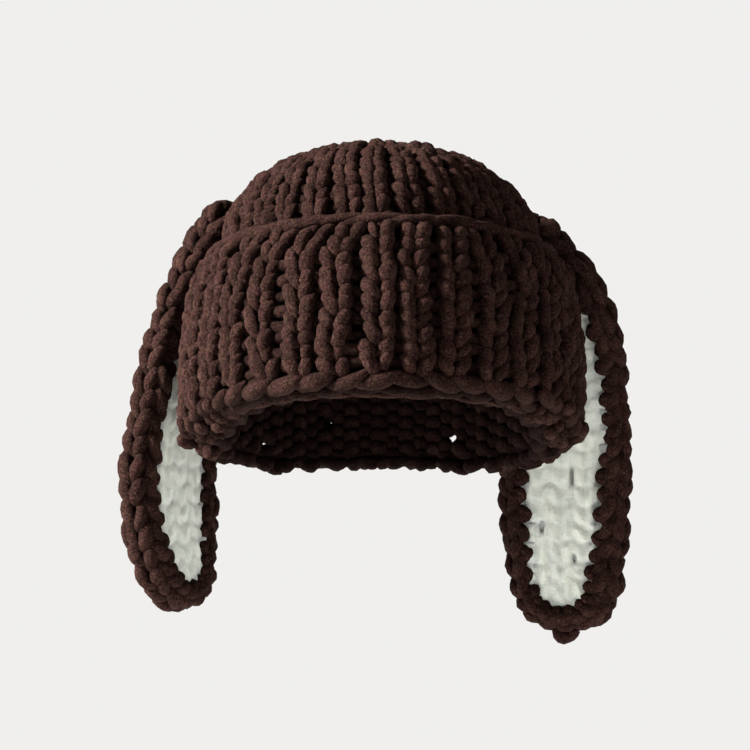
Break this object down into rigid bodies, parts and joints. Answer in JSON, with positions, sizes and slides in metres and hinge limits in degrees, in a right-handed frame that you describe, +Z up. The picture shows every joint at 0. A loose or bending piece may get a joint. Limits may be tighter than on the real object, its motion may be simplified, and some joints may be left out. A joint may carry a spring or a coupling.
{
  "type": "knitted beanie with rabbit ears",
  "caption": "Chunky knitted beanie with a turned-up brim and two long floppy ears, each with a pale front panel.",
  "frame": {"origin": "highest point of the head space, inside the crown, where the top of the head bears", "axes": "+Z up, -Y the way the wearer faces, +X towards the ear on the viewer's right"},
  "size_m": [0.2834, 0.2549, 0.2755],
  "materials": {
    "brown_yarn": "thick velvety chenille yarn, hand knitted",
    "white_yarn": "thick velvety chenille yarn, hand knitted"
  },
  "bodies": {
    "root": {"crown": "brown_yarn", "brim": "brown_yarn", "ear_left_shell": "brown_yarn", "ear_left_lining": "white_yarn", "ear_right_shell": "brown_yarn", "ear_right_lining": "white_yarn"}
  },
  "joints": []
}
